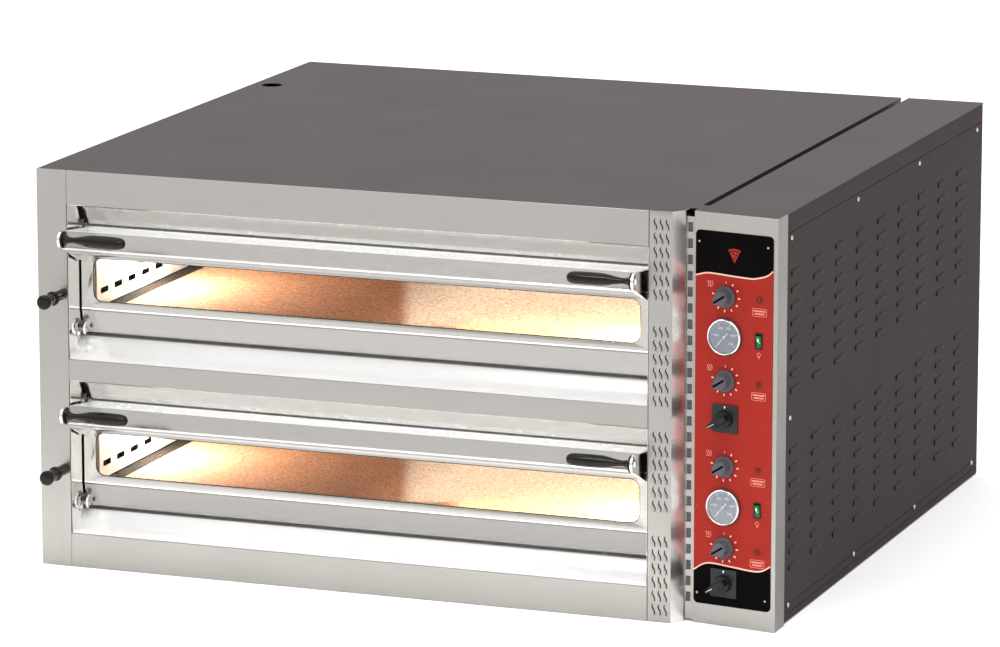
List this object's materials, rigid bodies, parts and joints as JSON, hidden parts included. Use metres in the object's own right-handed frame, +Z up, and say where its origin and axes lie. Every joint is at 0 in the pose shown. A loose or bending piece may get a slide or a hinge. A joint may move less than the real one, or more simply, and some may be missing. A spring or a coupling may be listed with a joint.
{
  "type": "countertop pizza oven",
  "caption": "Two-deck electric pizza oven with bottom-hinged glazed doors, steam pulls, louvred side and an angled control housing.",
  "frame": {"origin": "centre of the base panel footprint, on its underside", "axes": "+X to the right along the width, +Y from the doors to the back, +Z up"},
  "size_m": [1.37, 1.355, 0.716],
  "materials": {
    "brushed_steel": "fine vertical brushing",
    "polished_steel": "mirror-bright folded sheet with soft waves",
    "painted_sheet": "dark brown-grey baked paint, slight orange peel",
    "inner_sheet": "plain mill finish",
    "stone": "granular refractory stone",
    "insulation": "mineral wool blanket",
    "element": "oxidised heating rod",
    "bakelite": "glossy moulded plastic",
    "window_glass": "clear heat-resistant glass",
    "control_red": "printed plate, satin",
    "knob_plastic": "fine moulded texture",
    "needle_white": "white paint",
    "rocker_green": "lit green plastic",
    "bezel_chrome": "bright ring"
  },
  "bodies": {
    "case": {"left_pillar": "brushed_steel", "vent_pillar": "brushed_steel", "bottom_fascia": "brushed_steel", "middle_fascia": "brushed_steel", "top_fascia": "brushed_steel", "gap_strip": "brushed_steel", "control_front": "brushed_steel", "base_panel": "inner_sheet", "top_cover": "painted_sheet", "control_top_cover": "painted_sheet", "left_side_panel": "painted_sheet", "right_side_panel": "painted_sheet", "body_shell": "painted_sheet", "control_shell": "painted_sheet", "cable_gland": "knob_plastic", "insulation_middle": "insulation", "insulation_top": "insulation", "control_plate": "control_red", "lower_surround": "polished_steel", "lower_chamber": "inner_sheet", "lower_stone_floor": "stone", "lower_top_element": "element", "lower_bottom_element": "element", "lower_steam_duct": "inner_sheet", "lower_left_hinge_bracket": "inner_sheet", "lower_right_hinge_bracket": "inner_sheet", "lower_gauge_case": "bezel_chrome", "upper_surround": "polished_steel", "upper_chamber": "inner_sheet", "upper_stone_floor": "stone", "upper_top_element": "element", "upper_bottom_element": "element", "upper_steam_duct": "inner_sheet", "upper_left_hinge_bracket": "inner_sheet", "upper_right_hinge_bracket": "inner_sheet", "upper_gauge_case": "bezel_chrome"},
    "lower_door": {"lower_door_skin": "polished_steel", "lower_door_glass": "window_glass", "lower_door_liner": "inner_sheet", "lower_left_handle": "bakelite", "lower_right_handle": "bakelite"},
    "lower_steam_pull": {"lower_damper": "inner_sheet", "lower_pull_knob": "bakelite"},
    "upper_door": {"upper_door_skin": "polished_steel", "upper_door_glass": "window_glass", "upper_door_liner": "inner_sheet", "upper_left_handle": "bakelite", "upper_right_handle": "bakelite"},
    "upper_steam_pull": {"upper_damper": "inner_sheet", "upper_pull_knob": "bakelite"},
    "upper_front_thermostat": {"upper_front_thermostat_knob": "knob_plastic"},
    "upper_rear_thermostat": {"upper_rear_thermostat_knob": "knob_plastic"},
    "lower_front_thermostat": {"lower_front_thermostat_knob": "knob_plastic"},
    "lower_rear_thermostat": {"lower_rear_thermostat_knob": "knob_plastic"},
    "upper_switch": {"upper_switch_knob": "knob_plastic"},
    "lower_switch": {"lower_switch_knob": "knob_plastic"},
    "upper_needle": {"upper_gauge_needle": "needle_white"},
    "lower_needle": {"lower_gauge_needle": "needle_white"},
    "upper_rocker_switch": {"upper_rocker": "rocker_green"},
    "lower_rocker_switch": {"lower_rocker": "rocker_green"}
  },
  "joints": [
    {"name": "lower_door_hinge", "type": "hinge", "parent": "case", "child": "lower_door", "pos_m": [-0.0865, -0.5815, 0.106], "axis": [1, 0, 0], "range_deg": [0, 90]},
    {"name": "lower_steam_slide", "type": "slide", "parent": "case", "child": "lower_steam_pull", "axis": [0, -1, 0], "range_m": [0, 0.03]},
    {"name": "upper_door_hinge", "type": "hinge", "parent": "case", "child": "upper_door", "pos_m": [-0.0865, -0.5815, 0.422], "axis": [1, 0, 0], "range_deg": [0, 90]},
    {"name": "upper_steam_slide", "type": "slide", "parent": "case", "child": "upper_steam_pull", "axis": [0, -1, 0], "range_m": [0, 0.03]},
    {"name": "upper_front_thermostat_turn", "type": "hinge", "parent": "case", "child": "upper_front_thermostat", "pos_m": [0.58856, -0.6123, 0.574], "axis": [0.1557, 0.9878, 0], "range_deg": [-237, 33]},
    {"name": "upper_rear_thermostat_turn", "type": "hinge", "parent": "case", "child": "upper_rear_thermostat", "pos_m": [0.58856, -0.6123, 0.429], "axis": [0.1557, 0.9878, 0], "range_deg": [-237, 33]},
    {"name": "lower_front_thermostat_turn", "type": "hinge", "parent": "case", "child": "lower_front_thermostat", "pos_m": [0.58856, -0.6123, 0.28], "axis": [0.1557, 0.9878, 0], "range_deg": [-237, 33]},
    {"name": "lower_rear_thermostat_turn", "type": "hinge", "parent": "case", "child": "lower_rear_thermostat", "pos_m": [0.58856, -0.6123, 0.138], "axis": [0.1557, 0.9878, 0], "range_deg": [-237, 33]},
    {"name": "upper_switch_turn", "type": "hinge", "parent": "case", "child": "upper_switch", "pos_m": [0.58905, -0.61238, 0.363], "axis": [0.1557, 0.9878, 0], "range_deg": [0, 120]},
    {"name": "lower_switch_turn", "type": "hinge", "parent": "case", "child": "lower_switch", "pos_m": [0.58905, -0.61238, 0.0755], "axis": [0.1557, 0.9878, 0], "range_deg": [0, 120]},
    {"name": "upper_needle_turn", "type": "hinge", "parent": "case", "child": "upper_needle", "pos_m": [0.58757, -0.61214, 0.505], "axis": [0.1557, 0.9878, 0], "range_deg": [0, 270]},
    {"name": "lower_needle_turn", "type": "hinge", "parent": "case", "child": "lower_needle", "pos_m": [0.58757, -0.61214, 0.209], "axis": [0.1557, 0.9878, 0], "range_deg": [0, 270]},
    {"name": "upper_rocker_tilt", "type": "hinge", "parent": "case", "child": "upper_rocker_switch", "pos_m": [0.65126, -0.61914, 0.504], "axis": [-0.9878, 0.1557, 0], "range_deg": [0, 20]},
    {"name": "lower_rocker_tilt", "type": "hinge", "parent": "case", "child": "lower_rocker_switch", "pos_m": [0.65126, -0.61914, 0.2105], "axis": [-0.9878, 0.1557, 0], "range_deg": [0, 20]}
  ]
}
